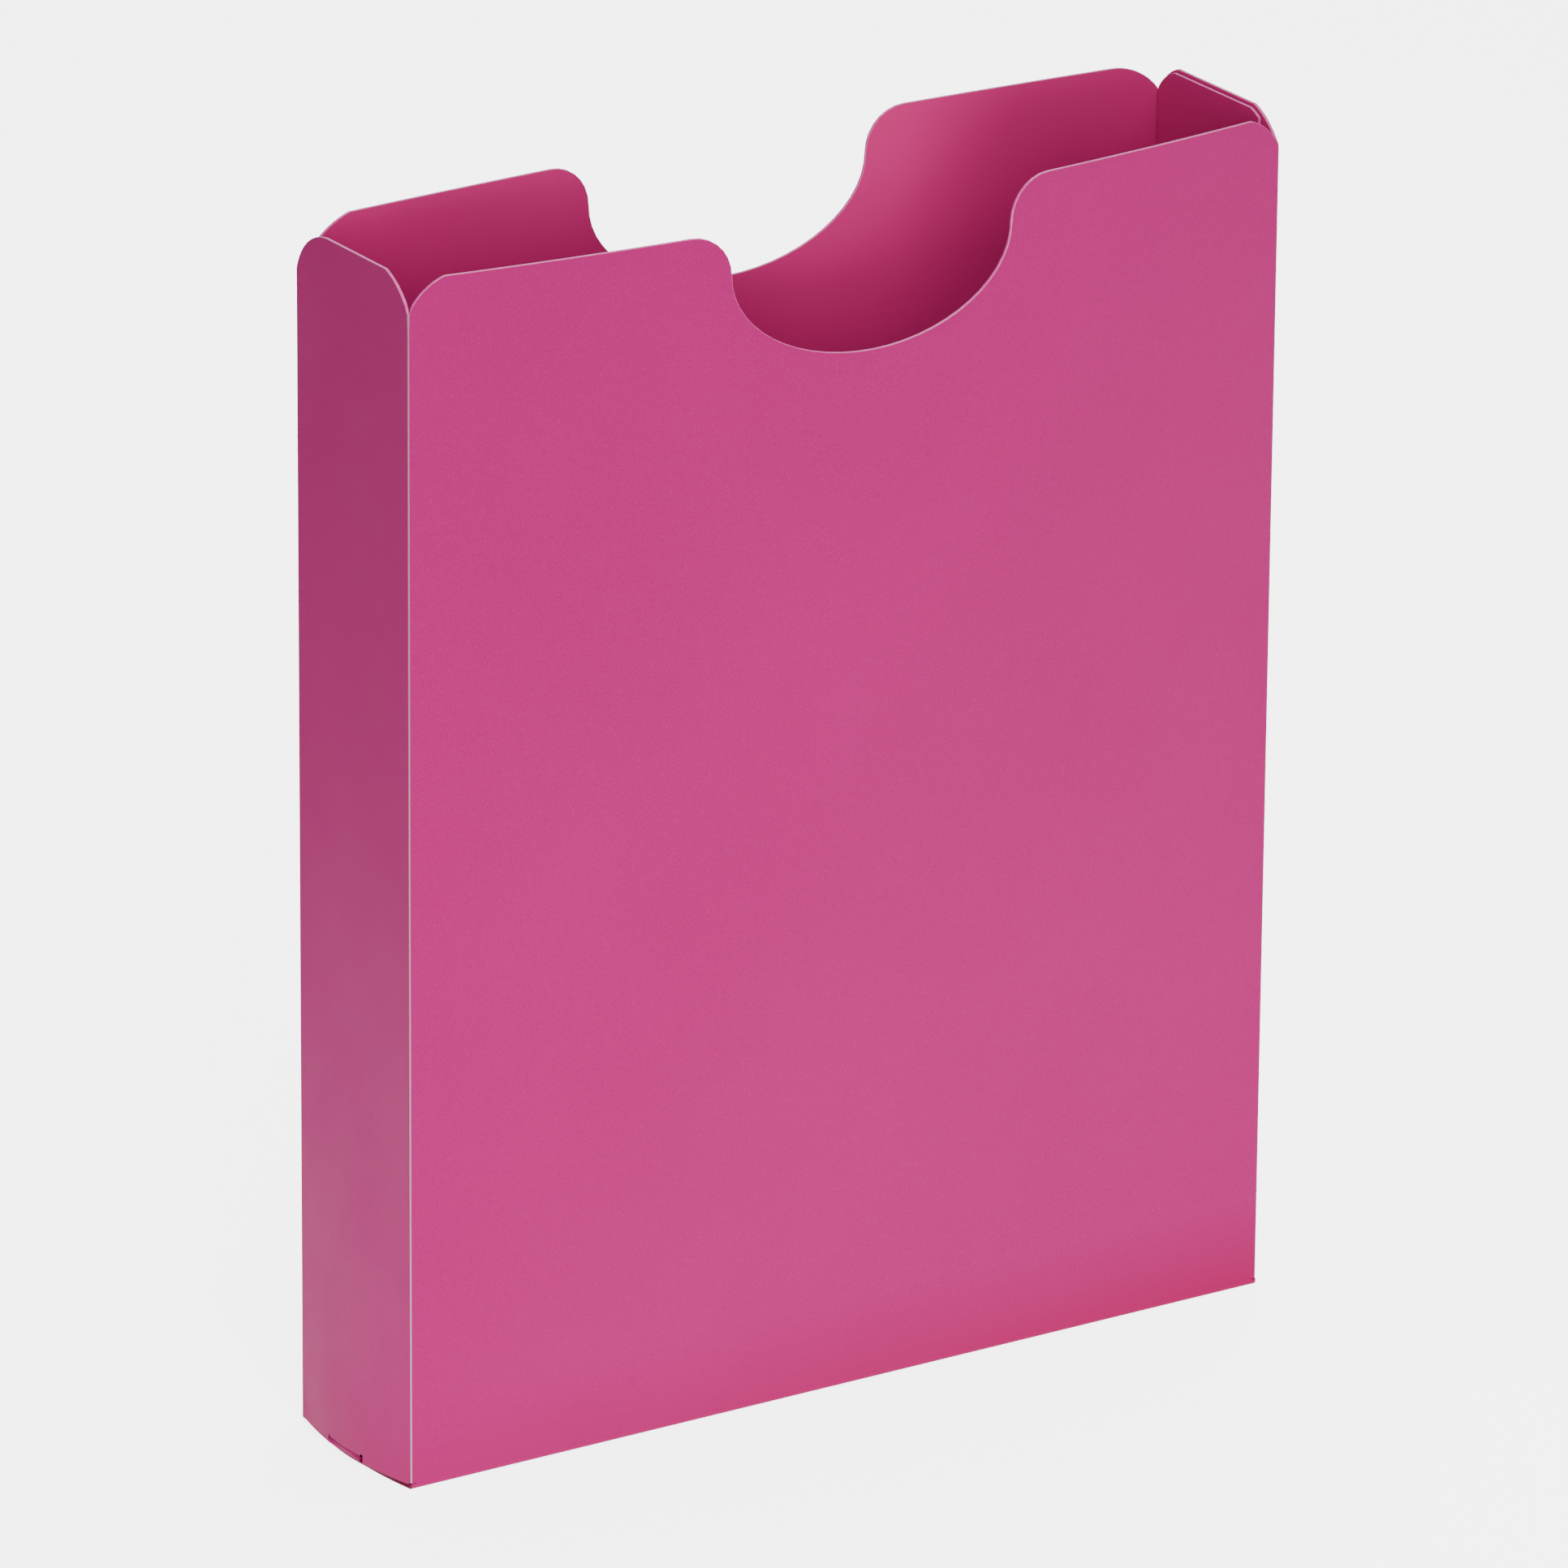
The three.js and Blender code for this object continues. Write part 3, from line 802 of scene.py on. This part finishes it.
def make_upright_creases():
    over_fold = BOTTOM_HINGE_Z + WALL_EDGE + FOLD_CLEARANCE
    drop = HEIGHT - INNER_LAYER_TOP
    for name, bodies, sides, low, high in (
        ("front_left_fold", ("front", "left_end"),
         (wide_side(front_face, 1, -1), end_side(left_face, -1, -1)),
         upright_foot(over_fold, END_FOOT), upright_top(FRONT_LEFT_CORNER, LEFT_END_FRONT_CORNER)),
        ("front_right_fold", ("front", "right_outer"),
         (wide_side(front_face, 1, 1), end_side(right_face, 1, -1)),
         upright_foot(over_fold, END_FOOT), upright_top(FRONT_RIGHT_CORNER, RIGHT_END_FRONT_CORNER)),
        ("back_left_fold", ("back", "left_end"),
         (wide_side(back_face, -1, -1), end_side(left_face, -1, 1)),
         sloping_foot(BACK_FOOT, END_FOOT), upright_top(BACK_LEFT_CORNER, LEFT_END_BACK_CORNER)),
        ("back_right_fold", ("back", "right_inner"),
         (wide_side(back_face, -1, 1), inner_layer_side),
         sloping_foot(BACK_FOOT, END_FOOT), upright_top(BACK_RIGHT_CORNER, RIGHT_END_BACK_CORNER, drop)),
    ):
        fold_strip(name, bodies, name.replace("fold", "crease"), *sides, low, high, UPRIGHT_ROWS)


def make_front_bottom_crease():
    def front_side(distance, x):
        z = np.full(np.shape(x), BOTTOM_HINGE_Z + distance)
        return front_face(x, z), outward(front_face, x, z, 1)

    def bottom_side(distance, x):
        y = np.full(np.shape(x), -HINGE_Y + distance)
        return bottom_face(x, y), np.broadcast_to([0.0, 0.0, -1.0], (len(x), 3))

    def half_length(share, turn):
        return float(bottom_half_width(-HINGE_Y + WALL_EDGE * share * turn))

    fold_strip("front_bottom_fold", ("front", "bottom"), "front_bottom_crease", front_side, bottom_side,
               lambda share, turn: -half_length(share, turn), half_length, BOTTOM_CREASE_POINTS, scuff_and_painted_light=-1.0)


def make_lip_crease():
    def bottom_side(distance, x):
        y = np.full(np.shape(x), LIP_HINGE_Y - distance)
        return bottom_face(x, y), np.broadcast_to([0.0, 0.0, -1.0], (len(x), 3))

    def lip_side(distance, x):
        z = np.full(np.shape(x), BOTTOM_HINGE_Z + distance)
        return points(x, LIP_HINGE_Y, z), np.broadcast_to([0.0, 1.0, 0.0], (len(x), 3))

    fold_strip("lip_fold", ("bottom", "tuck_lip"), "tuck_lip_crease", bottom_side, lip_side,
               lambda share, turn: -LIP_HALF, lambda share, turn: LIP_HALF, LIP_CREASE_POINTS)


def make_tongue_creases():
    for across, face, end_body, name in (
        (-1, left_face, "left_end", "left_tongue"),
        (1, right_face, "right_outer", "right_tongue"),
    ):
        def wall_side(distance, y, across=across, face=face):
            hinge = points(across * TONGUE_HINGE_X, y, TONGUE_HINGE_Z)
            wall_foot = face(y, np.full(np.shape(y), RELIEF_TOP))
            there = hinge + (wall_foot - hinge) * distance / WALL_EDGE
            return there, np.broadcast_to([float(across), 0.0, 0.0], (len(y), 3))

        def tongue_side(distance, y, across=across):
            there = points(across * (TONGUE_HINGE_X - distance), y, TONGUE_HINGE_Z)
            return there, np.broadcast_to([0.0, 0.0, -1.0], (len(y), 3))

        fold_strip(name + "_fold", (end_body, name), name + "_crease", wall_side, tongue_side,
                   lambda share, turn: -TONGUE_HALF, lambda share, turn: TONGUE_HALF, TONGUE_CREASE_POINTS,
                   scuff_and_painted_light=-1.0)


# Studio --------------------------------------------------------------------------------------
CAMERA_AZIMUTH = -32.89                                 # degrees, 0 looks along +Y
CAMERA_ELEVATION = 20.38
CAMERA_ROLL = 0.46
CAMERA_DISTANCE = 3.312
CAMERA_LENS = 309.3                                     # millimetres, on a sensor 36 mm wide
CAMERA_TARGET = (-1.6 * MM, 0, 151.3 * MM)
FLOOR_HALF = 5.0
FLOOR_GAP = 0.05 * MM
FLOOR_GLOW = 4.2                                        # a light table, lit in one turned rectangle
GLOW_ACROSS = (-0.40, 1.3)                              # where it starts and ends, in metres
GLOW_ALONG = (-0.8, 1.6)
GLOW_FADE = 0.12
GLOW_BEYOND = 0.15                                      # share of the glow that stays beyond each side
WORLD_GLOW = 0.08
SOFT_BOXES = (                                          # name, place, size, power in watts
    ("top_light", (0.3, 0.0, 1.7), 1.3, 26),
    ("back_light", (0.6, 1.3, 1.2), 1.2, 16),
    ("high_light", (-0.7, -1.1, 1.5), 1.2, 10),
    ("left_light", (-1.3, -0.9, 1.2), 1.0, 5),
    ("key_light", (-0.6, -1.3, 0.7), 0.9, 20),
    ("low_front_light", (-0.4, -1.1, 0.15), 0.5, 10.5),
)


def floor_skin():
    """Plain pale studio floor that glows like a light table in a rectangle turned to face the camera."""
    material, tree, shader = new_material("pale_floor")
    coords = tree.nodes.new("ShaderNodeTexCoord").outputs["Object"]
    tone = ramp(tree, noise(tree, 1.5, 2, coords), 0.3, 0.7)
    tree.links.new(mix(tree, tone, (0.88, 0.88, 0.88, 1), (0.9, 0.9, 0.9, 1)), shader.inputs["Base Color"])
    shader.inputs["Roughness"].default_value = 0.9
    shader.inputs["Specular IOR Level"].default_value = 0.1
    shader.inputs["Emission Color"].default_value = (1, 1, 1, 1)
    turned = tree.nodes.new("ShaderNodeMapping")
    turned.vector_type = "TEXTURE"
    turned.inputs["Rotation"].default_value = (0, 0, math.radians(CAMERA_AZIMUTH))
    tree.links.new(coords, turned.inputs["Vector"])
    place = tree.nodes.new("ShaderNodeSeparateXYZ")
    tree.links.new(turned.outputs["Vector"], place.inputs["Vector"])
    glow = None
    for axis, (start, end) in (("X", GLOW_ACROSS), ("Y", GLOW_ALONG)):
        for edge, inward in ((start, GLOW_FADE), (end, -GLOW_FADE)):
            fade = ramp(tree, place.outputs[axis], edge, edge + inward, GLOW_BEYOND, 1)
            glow = fade if glow is None else times(tree, glow, fade)
    glow = times(tree, glow, FLOOR_GLOW)
    tree.links.new(glow, shader.inputs["Emission Strength"])
    return material


def make_floor():
    corners = [(FLOOR_HALF * x, FLOOR_HALF * y, 0) for x, y in ((-1, -1), (1, -1), (1, 1), (-1, 1))]
    mesh = bpy.data.meshes.new("studio_floor")
    mesh.from_pydata(corners, [], [(0, 1, 2, 3)])
    mesh.materials.append(floor_skin())
    obj = bpy.data.objects.new("studio_floor", mesh)
    obj.location.z = cad_low.z - FLOOR_GAP
    bpy.context.scene.collection.objects.link(obj)


def make_world():
    world = bpy.data.worlds.new("studio_world")
    world.use_nodes = True
    background = world.node_tree.nodes["Background"]
    background.inputs["Color"].default_value = (1, 1, 1, 1)
    background.inputs["Strength"].default_value = WORLD_GLOW
    bpy.context.scene.world = world


def soft_box(name, location, size, power):
    """A square light aimed at the middle of the box."""
    light = bpy.data.lights.new(name, "AREA")
    light.size = size
    light.energy = power
    obj = bpy.data.objects.new(name, light)
    obj.location = location
    aim = Vector((0, 0, HEIGHT / 2)) - Vector(location)
    obj.rotation_euler = aim.to_track_quat("-Z", "Y").to_euler()
    bpy.context.scene.collection.objects.link(obj)


def make_camera():
    azimuth = math.radians(CAMERA_AZIMUTH)
    elevation = math.radians(CAMERA_ELEVATION)
    roll = math.radians(CAMERA_ROLL)
    back = Vector((math.sin(azimuth) * math.cos(elevation), -math.cos(azimuth) * math.cos(elevation),
                   math.sin(elevation)))
    right = Vector((math.cos(azimuth), math.sin(azimuth), 0))
    up = back.cross(right)
    camera_x = math.cos(roll) * right + math.sin(roll) * up
    camera_y = -math.sin(roll) * right + math.cos(roll) * up
    data = bpy.data.cameras.new("photo_camera")
    data.lens = CAMERA_LENS
    data.sensor_width = 36
    data.clip_start, data.clip_end = 0.1, 50
    camera = bpy.data.objects.new("photo_camera", data)
    turn = Matrix((camera_x, camera_y, back)).transposed().to_4x4()
    camera.matrix_world = Matrix.Translation(Vector(CAMERA_TARGET) + back * CAMERA_DISTANCE) @ turn
    bpy.context.scene.collection.objects.link(camera)
    bpy.context.scene.camera = camera


make_wide_walls()
make_end_walls()
make_bottom()
make_lip()
make_tongues()
make_upright_creases()
make_front_bottom_crease()
make_lip_crease()
make_tongue_creases()
make_floor()
make_world()
for light_name, place, width, watts in SOFT_BOXES:
    soft_box(light_name, place, width, watts)
make_camera()
